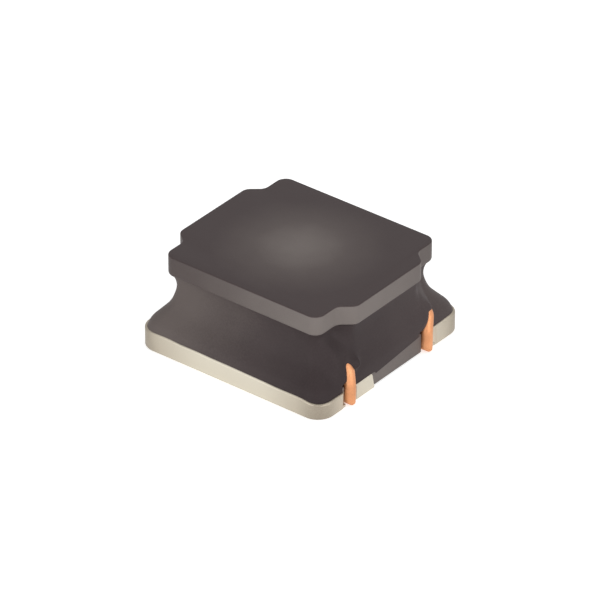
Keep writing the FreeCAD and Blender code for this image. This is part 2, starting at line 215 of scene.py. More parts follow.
def four_quarters(quarter: np.ndarray, rounds: np.ndarray) -> tuple[np.ndarray, np.ndarray]:
    """Mirrors the corners of one plan quarter into all four, anticlockwise.

    Args:
        quarter: Corners from the +X side round to the +Y side, shape (k, 2).
        rounds: Their radii.

    Returns:
        All corners and all radii.
    """
    flip_x, flip_y = np.array([-1, 1]), np.array([1, -1])
    corners = [quarter, quarter[::-1] * flip_x, -quarter, quarter[::-1] * flip_y]
    return np.concatenate(corners), np.concatenate([rounds, rounds[::-1]] * 2)


def ease(value: np.ndarray) -> np.ndarray:
    """Smooth step from 0 to 1: the cubic 3v^2 - 2v^3 of the value held within 0 and 1."""
    held = np.clip(value, 0, 1)
    return held * held * (3 - 2 * held)


def smooth_curve(places: np.ndarray, values: np.ndarray, wanted: np.ndarray) -> np.ndarray:
    """Smooth curve through given values.

    Each span is a cubic whose slopes at its ends are those of the chord between the
    neighbouring values.

    Args:
        places: Rising places of the given values.
        values: The given values.
        wanted: Places at which the curve is read.

    Returns:
        Values at the wanted places.
    """
    slope = np.gradient(values, places)
    span = np.clip(np.searchsorted(places, wanted, side="right") - 1, 0, len(places) - 2)
    width = places[span + 1] - places[span]
    part = (wanted - places[span]) / width
    square, cube = part**2, part**3
    return (
        (2 * cube - 3 * square + 1) * values[span]
        + (cube - 2 * square + part) * width * slope[span]
        + (3 * square - 2 * cube) * values[span + 1]
        + (cube - square) * width * slope[span + 1]
    )


def ripple(points: np.ndarray, wave: float, seed: int) -> np.ndarray:
    """Gentle unevenness in space: a mean of sine waves in seeded random directions.

    Args:
        points: Places, shape (..., 3).
        wave: Typical length of a wave.
        seed: Number that fixes the random draws.

    Returns:
        Values of about -1 to 1, one for each place.
    """
    rng = np.random.default_rng(seed)
    heading = rng.normal(size=(RIPPLE_WAVES, 3))
    heading *= 2 * math.pi / wave / np.linalg.norm(heading, axis=1, keepdims=True)
    heading *= rng.uniform(*RIPPLE_RANGE, size=(RIPPLE_WAVES, 1))
    start = rng.uniform(0, 2 * math.pi, size=RIPPLE_WAVES)
    return np.sin(points @ heading.T + start).mean(axis=-1) * RIPPLE_GAIN


def bent_line(points: np.ndarray, radii: np.ndarray, arc_points: int) -> np.ndarray:
    """Line through points in space with an arc at each inner one.

    Args:
        points: The points, shape (k, 3).
        radii: Radii of the inner corners, k - 2 of them.
        arc_points: Points on each arc.

    Returns:
        Points of the line, shape (n, 3).
    """
    corner = points[1:-1]
    arcs = corner_arcs(corner, points[:-2] - corner, points[2:] - corner, radii, arc_points)
    return np.concatenate([points[:1], arcs.reshape(-1, 3), points[-1:]])


def make_piece(
    name: str,
    node: str,
    finish: bpy.types.Material,
    grids: list[np.ndarray],
    round_trip: bool = False,
) -> bpy.types.Object:
    """Makes closed surfaces one dressed piece of the scene, in place of a CAD node.

    The rings of a grid close on themselves, and neighbouring rings are joined by quads.
    The first and last ring are joined too on a round trip, and are otherwise each closed
    by one flat face. The piece lies at the origin, with its place in its mesh.

    Args:
        name: Name of the piece.
        node: The CAD node that it replaces.
        finish: Its finish.
        grids: Points, each of shape (rings, points, 3), anticlockwise from outside and
            upwards.
        round_trip: Whether the last ring runs on into the first.

    Returns:
        The piece.
    """
    faces: list[list[int]] = []
    count = 0
    for grid in grids:
        rings, around = grid.shape[:2]
        index = count + np.arange(rings * around).reshape(rings, around)
        beside = np.roll(index, -1, axis=1)
        above, above_beside = np.roll(index, -1, axis=0), np.roll(beside, -1, axis=0)
        quads = np.stack([index, beside, above_beside, above], axis=-1)
        faces += (quads if round_trip else quads[:-1]).reshape(-1, 4).tolist()
        if not round_trip:
            faces += [index[0, ::-1].tolist(), index[-1].tolist()]
        count += rings * around
    mesh = bpy.data.meshes.new(name)
    points = np.concatenate([grid.reshape(-1, 3) for grid in grids])
    mesh.from_pydata(points * MM, [], faces)
    mesh.update()
    mesh.shade_smooth()
    mesh.set_sharp_from_angle(angle=math.radians(CREASE_DEGREES))
    mesh.materials.append(finish)
    piece = bpy.data.objects.new(name, mesh)
    bpy.context.scene.collection.objects.link(piece)
    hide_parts(node)
    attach(piece, "root")
    LOG.info("%s: %d faces", name, len(faces))
    return piece


def linear(code: str) -> tuple[float, float, float, float]:
    """Linear colour of an sRGB hex code.

    Args:
        code: Six hex digits after a hash.

    Returns:
        Red, green, blue and an alpha of 1.
    """
    parts = [int(code[i : i + 2], 16) / 255 for i in (1, 3, 5)]
    red, green, blue = (
        p / 12.92 if p <= 0.04045 else ((p + 0.055) / 1.055) ** 2.4 for p in parts
    )
    return red, green, blue, 1.0


def per_metre(size_mm: float) -> float:
    """Texture scale at which one feature measures this many millimetres."""
    return 1 / (size_mm * MM)


def add(
    tree: bpy.types.NodeTree, kind: str, inputs: dict | None = None, **settings: object
) -> bpy.types.Node:
    """Adds one node with its settings, values and links.

    Args:
        tree: The node tree.
        kind: Type of node, without its ShaderNode prefix.
        inputs: Value, or socket to link from, for each input name or number.
        settings: Attributes of the node.

    Returns:
        The node.
    """
    node = tree.nodes.new("ShaderNode" + kind)
    for name, value in settings.items():
        setattr(node, name, value)
    for name, value in (inputs or {}).items():
        if isinstance(value, bpy.types.NodeSocket):
            tree.links.new(value, node.inputs[name])
        else:
            node.inputs[name].default_value = value
    return node


def blank(name: str) -> tuple[bpy.types.Material, bpy.types.NodeTree]:
    """New material with an empty tree.

    Args:
        name: Name of the material.

    Returns:
        The material and its tree.
    """
    material = bpy.data.materials.new(name)
    material.use_nodes = True
    material.node_tree.nodes.clear()
    return material, material.node_tree


@dataclass(frozen=True)
class Finish:
    """What all finishes of this part share: three tones, two patterns and a fine relief.

    The tone is a mix of a grain, a slow cloud and painted light and shade over the whole
    object: painted shade at the corners, or painted light and shade that lean towards one
    corner.
    """

    title: str
    dark: str
    body: str
    pale: str
    grain_mm: float
    cloud_mm: float
    relief_mm: float
    roughness: float
    metallic: float = 0.0
    gloss: float = 0.5
    grain_part: float = 0.15
    cloud_part: float = 0.15
    painted_light_part: float = 0.70
    grain_detail: float = 3.0
    cloud_detail: float = 2.0
    # Height of the top face that carries a painted highlight, and the painted light and shade
    # that the tone carries.
    highlight_level: float = 0.0
    painted_light: PaintedLight = PaintedLight.CORNERS

    def painted_light_tone(
        self, tree: bpy.types.NodeTree, place: bpy.types.NodeSocket
    ) -> bpy.types.NodeSocket:
        """Painted light and shade over the whole object.

        For painted shade at the corners it is 1 minus the squared product of x and y over that
        of an upright corner, and otherwise it rises or falls evenly with part of y less x, as
        painted light and shade leaning towards one corner. Above the level of the top, on the
        lapped face, it falls by a smooth step of the distance from the axis, as a painted
        highlight in the middle.

        Args:
            tree: The node tree.
            place: Object coordinates.

        Returns:
            Socket of the painted light and shade, from 0 to 1.
        """
        x, y, z = add(tree, "SeparateXYZ", {0: place}).outputs
        if self.painted_light in PAINTED_LEAN_ENDS:
            part = add(tree, "Math", {0: y, 1: PAINTED_LEAN_PART}, operation="MULTIPLY").outputs[0]
            lean = add(tree, "Math", {0: part, 1: x}, operation="SUBTRACT").outputs[0]
            ends = {"Value": lean} | PAINTED_LEAN_ENDS[self.painted_light]
        else:
            product = add(tree, "Math", {0: x, 1: y}, operation="MULTIPLY").outputs[0]
            square = add(tree, "Math", {0: product, 1: product}, operation="MULTIPLY")
            most = (SHADED_CORNER_PRODUCT * MM * MM) ** 2
            ends = {"Value": square.outputs[0], "From Max": most}
            ends |= {"To Min": 1.0, "To Max": 0.0}
        painted_light_tone = add(tree, "MapRange", ends).outputs["Result"]
        if not self.highlight_level:
            return painted_light_tone
        # Painted highlight: paler in the middle of the top face.
        flat = add(tree, "CombineXYZ", {0: x, 1: y}).outputs[0]
        away = add(tree, "VectorMath", {0: flat}, operation="LENGTH").outputs["Value"]
        ends = {"Value": away, "From Max": HIGHLIGHT_RADIUS * MM}
        ends |= {"To Min": HIGHLIGHT_TONE, "To Max": 0.0}
        highlight = add(tree, "MapRange", ends, interpolation_type="SMOOTHSTEP").outputs["Result"]
        low = self.highlight_level * MM
        ends = {"Value": z, "From Min": low, "From Max": low + HIGHLIGHT_BLEND * MM}
        top_face = add(tree, "MapRange", ends).outputs["Result"]
        return add(tree, "Mix", {0: top_face, 2: painted_light_tone, 3: highlight}).outputs[0]

    def material(self) -> bpy.types.Material:
        """Builds the finish on Object coordinates.

        The tone is the sum of grain, cloud and painted light and shade, each times its part.

        Returns:
            The material.
        """
        material, tree = blank(self.title)
        place = add(tree, "TexCoord").outputs["Object"]
        sizes = ((self.grain_mm, self.grain_detail), (self.cloud_mm, self.cloud_detail))
        grain, cloud = (
            add(
                tree,
                "TexNoise",
                {"Vector": place, "Scale": per_metre(size), "Detail": detail},
            ).outputs["Fac"]
            for size, detail in sizes
        )
        painted_light_tone = self.painted_light_tone(tree, place)
        tone = add(
            tree, "Math", {0: grain, 1: self.grain_part}, operation="MULTIPLY"
        ).outputs[0]
        for pattern, part in ((cloud, self.cloud_part), (painted_light_tone, self.painted_light_part)):
            tone = add(
                tree, "Math", {0: pattern, 1: part, 2: tone}, operation="MULTIPLY_ADD"
            ).outputs[0]
        colours = add(tree, "ValToRGB", {"Fac": tone})
        elements = colours.color_ramp.elements
        elements.new(TONE_STOPS[1])
        tones = (self.dark, self.body, self.pale)
        for element, stop, code in zip(elements, TONE_STOPS, tones):
            element.position = stop
            element.color = linear(code)
        relief = add(tree, "Bump", {"Height": grain, "Distance": self.relief_mm * MM})
        surface = add(
            tree,
            "BsdfPrincipled",
            {
                "Base Color": colours.outputs["Color"],
                "Metallic": self.metallic,
                "Roughness": self.roughness,
                "Specular IOR Level": self.gloss,
                "Normal": relief.outputs["Normal"],
            },
        )
        add(tree, "OutputMaterial", {"Surface": surface.outputs["BSDF"]})
        return material


# Nickel-zinc ferrite, pressed, sintered and lapped: warm dark grey ceramic, dull, with a
# fine grain. The real grain of some 5 micrometres is drawn six times coarser, to show.
# Its tone carries painted light, paler towards the front +X corner, and a painted highlight in
# the middle of the top.
SINTERED_FERRITE = Finish(
    title="Sintered ferrite",
    dark="#463C3C",
    body="#5B5250",
    pale="#7E7672",
    grain_mm=0.03,
    cloud_mm=0.8,
    relief_mm=0.0008,
    roughness=0.55,
    gloss=0.2,
    cloud_part=0.10,
    painted_light_part=0.75,
    highlight_level=2.665,
    painted_light=PaintedLight.LIT_FRONT,
)

# Epoxy loaded with ferrite powder, dispensed and cured: darker, browner and more matt than
# the core, with a soft powdery grain.
# Its tone carries painted shade, darker towards the front +X corner.
FERRITE_RESIN = Finish(
    title="Ferrite-filled epoxy",
    dark="#352C2D",
    body="#4A4141",
    pale="#675E5B",
    grain_mm=0.045,
    cloud_mm=1.2,
    relief_mm=0.002,
    roughness=0.65,
    gloss=0.2,
    painted_light=PaintedLight.SHADED_FRONT,
)

# Copper magnet wire drawn round and enamelled: pink-orange metal, softened by its enamel.
ENAMELLED_COPPER = Finish(
    title="Enamelled copper wire",
    dark="#C4875D",
    body="#DF9B6C",
    pale="#EFB07F",
    grain_mm=0.04,
    cloud_mm=0.5,
    relief_mm=0.0004,
    roughness=0.5,
    metallic=0.6,
    grain_part=0.4,
    cloud_part=0.6,
    painted_light_part=0.0,
)

# Fired silver paste plated with nickel and matt tin: warm satin silver, with painted shade that
# darkens it at the upright corners.
TIN_PLATING = Finish(
    title="Matt tin plating",
    dark="#857A6C",
    body="#BBB2A2",
    pale="#D1CABA",
    grain_mm=0.03,
    cloud_mm=1.0,
    relief_mm=0.0008,
    roughness=0.45,
    metallic=0.8,
)

# Lead-free solder melted into the groove: bright grey metal with a frosty, dimpled skin.
REFLOWED_SOLDER = Finish(
    title="Reflowed tin solder",
    dark="#A5A198",
    body="#C2BFB7",
    pale="#D8D5CD",
    grain_mm=0.10,
    cloud_mm=0.4,
    relief_mm=0.004,
    roughness=0.32,
    metallic=1.0,
    grain_part=0.5,
    cloud_part=0.5,
    painted_light_part=0.0,
)


@dataclass(frozen=True)
class Lead:
    """One end of the wire.

    It has its y at the foot, how far it sways along y on its way up, the height and bend
    at which it turns inwards, and the number of the level of the turn that it joins.
    """

    place: float
    sway: float
    rise: float
    top_bend: float
    level: int


@dataclass
class Winding:
    """One round wire: two layers round the post and both leads out to +X.

    The crossing to the outer layer and the whole length are counted in half turns.
    """

    radius: float = 0.165
    post_radius: float = 1.12
    stack_gap: float = 0.02
    layer_gap: float = 0.03
    floor: float = 0.57
    ceiling: float = 2.11
    crossing: int = 6
    half_turns: int = 12
    stand: float = 2.94
    lean: float = 0.12
    foot_start: float = 1.15
    level_run: float = 0.50
    ramp_run: float = 1.25
    foot_bend: float = 0.195
    ramp_bend: float = 0.50
    lean_bend: float = 0.30
    foot_corner: float = 0.48
    foot_gap: float = 0.003
    bend_points: int = 14
    turn_points: int = 480
    ring_points: int = 32
    front: Lead = Lead(place=-1.71, sway=0.07, rise=1.08, top_bend=0.28, level=1)
    rear: Lead = Lead(place=1.48, sway=0.20, rise=1.06, top_bend=0.22, level=0)

    @property
    def inner(self) -> float:
        """Radius of the inner layer's centre line."""
        return self.post_radius + self.stack_gap + self.radius

    @property
    def outer(self) -> float:
        """Radius of the outer layer's centre line."""
        return self.inner + 2 * self.radius + self.layer_gap

    def lead(self, edge: Edge) -> Lead:
        """The lead at an edge."""
        return self.front if edge is Edge.FRONT else self.rear

    def turn_radius(self, edge: Edge) -> float:
        """Radius of the turn that a lead joins: the wire starts inside and ends outside."""
        return self.outer if edge is Edge.FRONT else self.inner

    def levels(self) -> np.ndarray:
        """Heights of the four stacked turns."""
        rest = self.stack_gap + self.radius
        return np.linspace(self.floor + rest, self.ceiling - rest, 4)

    def upright(self, edge: Edge, height: np.ndarray) -> tuple[np.ndarray, np.ndarray]:
        """Centre of a lead's upright part: at stand and place up to the floor, and from
        there on a straight slant to its top.

        Args:
            edge: Which lead.
            height: Heights at which it is read.

        Returns:
            The centre's x and y.
        """
        lead = self.lead(edge)
        part = np.clip((height - self.floor) / (lead.rise - self.floor), 0, 1)
        return self.stand - self.lean * part, lead.place + lead.sway * part

    def touch_angle(self, edge: Edge) -> float:
        """Angle at which a lead's line touches its turn.

        It is the bearing of the lead's top, plus or minus the arccosine of turn radius
        over distance.

        Args:
            edge: Which lead.

        Returns:
            The angle in radians.
        """
        lead = self.lead(edge)
        x, y = self.stand - self.lean, lead.place + lead.sway
        aside = math.acos(self.turn_radius(edge) / math.hypot(x, y))
        return math.atan2(y, x) + edge.value * aside

    def lead_line(self, edge: Edge) -> np.ndarray:
        """Centre line of one lead, from its foot to its turn.

        Args:
            edge: Which lead.

        Returns:
            Points, shape (n, 3).
        """
        lead, angle, turn = self.lead(edge), self.touch_angle(edge), self.turn_radius(edge)
        level = self.levels()[lead.level]
        foot = self.radius + self.foot_gap
        touch = np.array([turn * math.cos(angle), turn * math.sin(angle), level])
        top = np.array([self.stand - self.lean, lead.place + lead.sway, lead.rise])
        inward = (touch - top) * [1, 1, 0]
        inward /= np.linalg.norm(inward)
        low = top + inward * self.ramp_run
        low[2] = level
        points = np.array(
            [
                (self.foot_start, lead.place, foot),
                (self.stand, lead.place, foot),
                (self.stand, lead.place, self.floor),
                top,
                top + inward * self.level_run,
                low,
                touch,
            ]
        )
        bends = [self.foot_bend, self.lean_bend, lead.top_bend, self.ramp_bend, self.ramp_bend]
        return bent_line(points, np.array(bends), self.bend_points)

    def turns(self) -> np.ndarray:
        """Centre line of all turns.

        The height is level over +Y and climbs or falls by one level over -Y. The reach
        eases from the inner radius to the outer one over the half turn after the crossing.

        Returns:
            Points, shape (n, 3).
        """
        start = self.touch_angle(Edge.REAR)
        finish = self.touch_angle(Edge.FRONT) + self.half_turns * math.pi
        low, second, third, high = self.levels()
        knots = np.array([start / math.pi, *range(1, self.half_turns), finish / math.pi])
        heights = np.repeat([low, second, third, high, third, second], [2, 2, 2, 2, 2, 3])
        angle = np.linspace(start, finish, self.turn_points)
        height = np.interp(angle / math.pi, knots, heights)
        crossed = ease(angle / math.pi - self.crossing)
        reach = self.inner + (self.outer - self.inner) * crossed
        return np.stack([reach * np.cos(angle), reach * np.sin(angle), height], axis=1)

    def build(self, finish: bpy.types.Material) -> bpy.types.Object:
        """Sweeps the wire's circle along its whole centre line.

        Each ring is centre + r cos t side + r sin t up, square to the line. Over the leads
        side is the y direction, and over the turns it is the line's heading crossed with z.
        At a foot's bend the outer half is pressed out towards the square corner: its reach
        is the bend's outer radius over the greater of sine and cosine of the angle turned.

        Args:
            finish: The enamelled copper.

        Returns:
            The piece.
        """
        first, last = self.lead_line(Edge.REAR), self.lead_line(Edge.FRONT)[::-1]
        line = np.concatenate([first, self.turns()[1:-1], last])
        heading = np.gradient(line, axis=0)
        heading /= np.linalg.norm(heading, axis=1, keepdims=True)
        across = np.cross(heading, [0, 0, 1])
        across[: len(first)] = (0, 1, 0)
        across[-len(last) :] = (0, -1, 0)
        up = np.cross(across, heading)
        up /= np.linalg.norm(up, axis=1, keepdims=True)
        side = np.cross(heading, up)
        bend = self.bend_points
        turned = np.linspace(0, math.pi / 2, bend)
        outer = (self.foot_bend + self.radius) / np.maximum(np.cos(turned), np.sin(turned))
        pressed = np.ones(len(line))
        pressed[1 : bend + 1] = (
            np.minimum(outer, self.foot_corner) - self.foot_bend
        ) / self.radius
        pressed[-bend - 1 : -1] = pressed[1 : bend + 1]
        turn = np.linspace(0, 2 * math.pi, self.ring_points, endpoint=False)
        rise = np.sin(turn) * np.where(np.sin(turn) > 0, pressed[:, None], 1.0)
        grid = line[:, None] + self.radius * (
            np.cos(turn)[None, :, None] * side[:, None] + rise[..., None] * up[:, None]
        )
        return make_piece("coil_wire", "coil", finish, [grid])


@dataclass
class Base:
    """Sizes of the base flange that the core, terminals, solder and resin share."""

    half_x: float = 3.0
    half_y: float = 2.94
    corner: float = 0.50
    plating: float = 0.085
    high: float = 0.57
    groove_start: float = 1.05
    groove_half: float = 0.235
    groove_roof: float = 0.36
    notch_floor: float = 2.765
    notch_half: float = 0.175
    inner_round: float = 0.04
    side_fall: float = 0.05
    side_fall_start: float = -1.5
    side_fall_run: float = 3.8
    corner_fall: float = 0.06
    corner_fall_start: float = 2.3
    corner_fall_run: float = 0.6

    def fall(self, x: np.ndarray) -> np.ndarray:
        """How far the front band's top lies below the base's: evenly more along the front,
        and an eased step more round the corner to +X.

        Args:
            x: Places along x.

        Returns:
            The fall at each place.
        """
        along = np.clip((x - self.side_fall_start) / self.side_fall_run, 0, 1)
        turned = ease((x - self.corner_fall_start) / self.corner_fall_run)
        return self.side_fall * along + self.corner_fall * turned

    def way(
        self, place: float, depth: float, half: float, edge_x: float
    ) -> list[tuple[float, float]]:
        """Corners of one lead's way, cut in from an edge on +X, in rising y.

        Args:
            place: The lead's y.
            depth: The x at which the way ends.
            half: Half its width at that end.
            edge_x: The x of the edge.

        Returns:
            Four corners.
        """
        return [
            (edge_x, place - self.notch_half),
            (depth, place - half),
            (depth, place + half),
            (edge_x, place + self.notch_half),
        ]


@dataclass
class DrumCore:
    """Ferrite drum: base flange with its wire ways, round post and notched cap.

    The belly is the bare ferrite between the pads. Its rows are (inset, height) pairs, the
    lower ones above its low face and the upper ones above the plating.
    """

    base: Base
    cap_low: float = 2.11
    cap_high: float = 2.70
    cap_middle: float = 2.88
    cap_end: float = 2.49
    cap_half_width: float = 2.46
    step_inner: float = 1.34
    step_outer: float = 1.66
    step_round: float = 0.28
    cap_corner: float = 0.30
    upper_round: float = 0.035
    lower_round: float = 0.085
    base_round: float = 0.02
    mouth_round: float = 0.03
    post_sink: float = 0.05
    belly_start: float = -0.66
    belly_finish: float = 1.06
    belly_low: float = 0.012
    belly_tab: float = 1.30
    belly_tab_depth: float = 0.10
    belly_corner: float = 0.022
    belly_lower: tuple[tuple[float, float], ...] = ((0.02, 0.0), (0.006, 0.006), (0.0, 0.02))
    belly_upper: tuple[tuple[float, float], ...] = ((0.0, 0.015), (0.004, 0.04))

    def base_outline(self, winding: Winding, depth: float, half: float) -> np.ndarray:
        """Base outline with a way cut in from +X at each lead.

        Args:
            winding: The winding, for the leads' places.
            depth: The x at which each way ends.
            half: Half a way's width at its inner end.

        Returns:
            Plan points, anticlockwise.
        """
        base = self.base
        x, y = base.half_x - base.plating, base.half_y - base.plating
        round_off = base.corner - base.plating
        ways = [base.way(winding.lead(edge).place, depth, half, x) for edge in Edge]
        corners = [(-x, -y), (x, -y), *ways[0], *ways[1], (x, y), (-x, y)]
        way_rounds = [self.mouth_round, base.inner_round, base.inner_round, self.mouth_round]
        radii = [round_off] * 2 + way_rounds * 2 + [round_off] * 2
        return rounded_outline(np.array(corners), np.array(radii), arc_points=10, run_points=6)

    def cap_outline(self) -> np.ndarray:
        """Cap outline: a long middle stepped in to both ends by an S-curve on each side.

        Returns:
            Plan points, anticlockwise.
        """
        quarter = np.array(
            [
                (self.cap_middle, self.step_inner),
                (self.cap_end, self.step_outer),
                (self.cap_end, self.cap_half_width),
            ]
        )
        rounds = np.array([self.step_round, self.step_round, self.cap_corner])
        return rounded_outline(*four_quarters(quarter, rounds), arc_points=18, run_points=10)

    def belly(self) -> np.ndarray:
        """Slab that brings the bare ferrite level with the pads on both its sides, with a
        tab along +X as far as the rear lead's way.

        Returns:
            Grid of points, shape (rows, n, 3).
        """
        top = self.base.plating
        x = self.base.half_x - top
        inner = x - self.belly_tab_depth
        first, tab, last = self.belly_start, self.belly_tab, self.belly_finish
        corners = [(x, first), (x, tab), (inner, tab), (inner, last), (-x, last), (-x, first)]
        radii = np.full(len(corners), self.belly_corner)
        outline = rounded_outline(np.array(corners), radii, arc_points=4, run_points=30)
        profile = [(inset, self.belly_low + height) for inset, height in self.belly_lower]
        profile += [(inset, top + height) for inset, height in self.belly_upper]
        return stacked(outline, np.array(profile))

    def build(self, winding: Winding, finish: bpy.types.Material) -> bpy.types.Object:
        """Builds the drum as closed surfaces: base, belly, and post with cap.

        Args:
            winding: The winding, for the leads' places.
            finish: The ferrite.

        Returns:
            The piece.
        """
        base = self.base
        groove = self.base_outline(winding, base.groove_start, base.groove_half)
        notch = self.base_outline(winding, base.notch_floor, base.notch_half)
        sides = edge_profile(base.plating, base.high, self.base_round, self.base_round)
        grooved = sides[sides[:, 1] < base.groove_roof]
        notched = sides[sides[:, 1] >= base.groove_roof]
        roof = np.array([[0.0, base.groove_roof]])
        lower = stacked(groove, np.concatenate([grooved, roof]))
        upper = stacked(notch, np.concatenate([roof, notched]))
        cap = self.cap_outline()
        spokes = cap / np.linalg.norm(cap, axis=1, keepdims=True)
        post = np.array([[0.0, base.high - self.post_sink], [0.0, self.cap_low]])
        edges = edge_profile(self.cap_low, self.cap_high, self.lower_round, self.upper_round)
        column = [stacked(spokes * winding.post_radius, post), stacked(cap, edges)]
        grids = [np.concatenate([lower, upper]), self.belly(), np.concatenate(column)]
        return make_piece("drum_core_ferrite", "drum_core", finish, grids)


@dataclass(frozen=True)
class Wetting:
    """How the resin lies round one lead.

    Up to near it fills out to the plane of the cap's middle, and past far it doesn't, both
    as distances from the middle along y. Its tongues along the wire give how far beside
    the lead's axis their middle is, the middle's height, their reach and their size.
    """

    near: float
    far: float
    tongues: tuple[tuple[float, ...], ...]


@dataclass
class MagneticResin:
    """Resin ring between the flanges, waisted outside and flared out to the base.

    Profile rows give the share of the height, of the flare out to the base and of the
    waist.
    """

    base: Base
    core: DrumCore
    ledge: float = 0.035
    end_ledge: float = 0.03
    bore: float = 1.86
    waist_inset: float = 0.15
    rings: int = 96
    ripple_mm: float = 0.006
    ripple_wave: float = 1.1
    ripple_fade: float = 0.5
    seat_gap: float = 0.004
    least_drop: float = 0.004
    bare_start: float = -0.74
    bare_finish: float = 1.12
    bare_extra: float = 0.08
    bare_ramp: float = 0.1
    way_back: float = 0.85
    way_bottom: float = 0.6
    way_front_slope: float = 0.75
    way_rear_slope: float = 2.0
    way_top: float = 0.66
    way_fade: float = 0.25
    way_hem: float = 0.02
    way_round: float = 0.01
    lead_side: float = 2.0
    fill_side: float = 1.9
    fill_side_run: float = 0.3
    fill_top: float = 1.30
    fill_fade: float = 0.65
    front: Wetting = Wetting(1.92, 2.34, ((0.18, 1.10, 0.25, 0.12), (-0.20, 1.00, 0.05, 0.15)))
    rear: Wetting = Wetting(1.52, 2.02, ((-0.25, 0.98, 0.13, 0.14), (0.08, 1.16, 0.20, 0.12)))
    profile: tuple[tuple[float, float, float], ...] = (
        (0.00, 1.00, 0.00),
        (0.12, 0.83, 0.05),
        (0.25, 0.56, 0.35),
        (0.38, 0.31, 0.70),
        (0.60, 0.09, 1.00),
        (0.78, 0.00, 1.00),
        (0.96, 0.00, 0.60),
        (1.00, 0.00, 0.40),
    )

    def wetting(self, edge: Edge) -> Wetting:
        """How the resin lies round the lead at an edge."""
        return self.front if edge is Edge.FRONT else self.rear

    def outline(self, flare: float, waist: float) -> np.ndarray:
        """Plan outline at one height: the cap's outline mixed towards the base's by flare,
        then set in by the waist.

        Args:
            flare: Share of the way out to the base.
            waist: Share of the waist's inset.

        Returns:
            Plan points, anticlockwise.
        """
        core = self.core
        skirt_x, skirt_y = self.base.half_x - self.ledge, self.base.half_y - self.ledge
        top = np.array([core.cap_middle, core.cap_end, core.cap_half_width])
        skirt = np.array([skirt_x, skirt_x - self.end_ledge, skirt_y])
        middle, end, side = top + (skirt - top) * flare - self.waist_inset * waist
        quarter = np.array([(middle, core.step_inner), (end, core.step_outer), (end, side)])
        corner = core.cap_corner + (self.base.corner - self.ledge - core.cap_corner) * flare
        rounds = np.array([core.step_round, core.step_round, corner])
        return rounded_outline(*four_quarters(quarter, rounds), arc_points=24, run_points=34)

    def way(self, points: np.ndarray, winding: Winding, edge: Edge) -> np.ndarray:
        """The x behind which the skirt stays beside a lead.

        It is a V round the wire that starts behind its axis and opens more on the front
        side. It fades out above the skirt, where the wall itself has drawn back.

        Args:
            points: Points of the outer wall, shape (..., 3).
            winding: The winding.
            edge: Which lead.

        Returns:
            The x at each point.
        """
        y, z = points[..., 1], points[..., 2]
        centre_x, centre_y = winding.upright(edge, z)
        beside = centre_y - y
        past = np.clip(np.abs(beside) - self.way_bottom * winding.radius, 0, None)
        flank = np.where(beside > 0, self.way_front_slope, self.way_rear_slope) * past
        lift = ease((z - self.way_top) / self.way_fade)
        return centre_x - self.way_back * winding.radius + flank + lift

    def filled(self, outside: np.ndarray, middle: np.ndarray, edge: Edge) -> np.ndarray:
        """Moves the wall out to the middle's plane past the step, where a lead comes out.

        The share of the move is an eased step across y between the fill's two places,
        times one that fades up the wall, times one that keeps it on the +X side.

        Args:
            outside: Points of the outer wall, shape (rings, n, 3).
            middle: The x of the middle's plane at each ring, shape (rings,).
            edge: Which lead.

        Returns:
            The x of each point.
        """
        wall, y, z = np.moveaxis(outside, -1, 0)
        near, far = self.wetting(edge).near, self.wetting(edge).far
        across = ease((far - edge.value * y) / (far - near)) * (edge.value * y > 0)
        share = across * (1 - ease((z - self.fill_top) / self.fill_fade))
        on_side = ease((wall - self.fill_side) / self.fill_side_run)
        return wall + (middle[:, None] - wall) * share * on_side

    def tongues(self, outside: np.ndarray, winding: Winding, edge: Edge) -> np.ndarray:
        """How far the resin has crept out along a lead.

        Each tongue is a bell in y and z: reach times e to the minus half the squared
        distance over the size.

        Args:
            outside: Points of the outer wall, shape (..., 3).
            winding: The winding.
            edge: Which lead.

        Returns:
            The added x at each point.
        """
        wall, y, z = np.moveaxis(outside, -1, 0)
        beside, height, reach, size = np.array(self.wetting(edge).tongues).T
        centre_y = winding.upright(edge, z)[1][..., None] + beside
        away = ((y[..., None] - centre_y) ** 2 + (z[..., None] - height) ** 2) / size**2
        return (reach * np.exp(-away / 2)).sum(axis=-1) * (wall > self.lead_side)

    def lip(self, outline: np.ndarray) -> np.ndarray:
        """How far the skirt hangs down over the base's side at each plan point.

        It follows the front band's lowered top, and past the band's end it rises evenly to
        the base's edge over the bare ferrite.

        Args:
            outline: Plan points, shape (n, 2).

        Returns:
            Drops, shape (n,).
        """
        x, y = outline.T
        bare = np.clip((self.bare_finish - y) / (self.bare_finish - self.bare_start), 0, 1)
        extra = self.bare_extra * ease((y - self.bare_start) / self.bare_ramp) * (x > 0)
        return self.least_drop + (self.base.fall(x) + extra) * bare

    def wall(self, winding: Winding) -> np.ndarray:
        """Outer wall of the ring, from the base to the cap.

        It is filled out and creeps out at the leads, and is then moved by a gentle ripple
        along its plan normal that fades at both ends.

        Args:
            winding: The winding, for the leads.

        Returns:
            Grid of points, shape (rings, n, 3).
        """
        share = np.linspace(0, 1, self.rings)
        given = np.array(self.profile).T
        flare, waist = (smooth_curve(given[0], values, share) for values in given[1:])
        plans = np.stack([self.outline(f, w) for f, w in zip(flare, waist)])
        low, high = self.base.high, self.core.cap_low
        height = low + share * (high - low)
        height = np.broadcast_to(height[:, None, None], plans.shape[:2] + (1,))
        outside = np.concatenate([plans, height], axis=2)
        middle_x = self.core.cap_middle
        middle = middle_x + (self.base.half_x - self.ledge - middle_x) * flare
        for edge in Edge:
            outside[..., 0] = self.filled(outside, middle - self.waist_inset * waist, edge)
            outside[..., 0] += self.tongues(outside, winding, edge)
        normals = np.stack([outward(plan) for plan in plans])
        ends = np.sin(math.pi * share)[:, None] ** self.ripple_fade
        moved = self.ripple_mm * ripple(outside, self.ripple_wave, seed=5) * ends
        outside[..., :2] += normals * moved[..., None]
        return outside

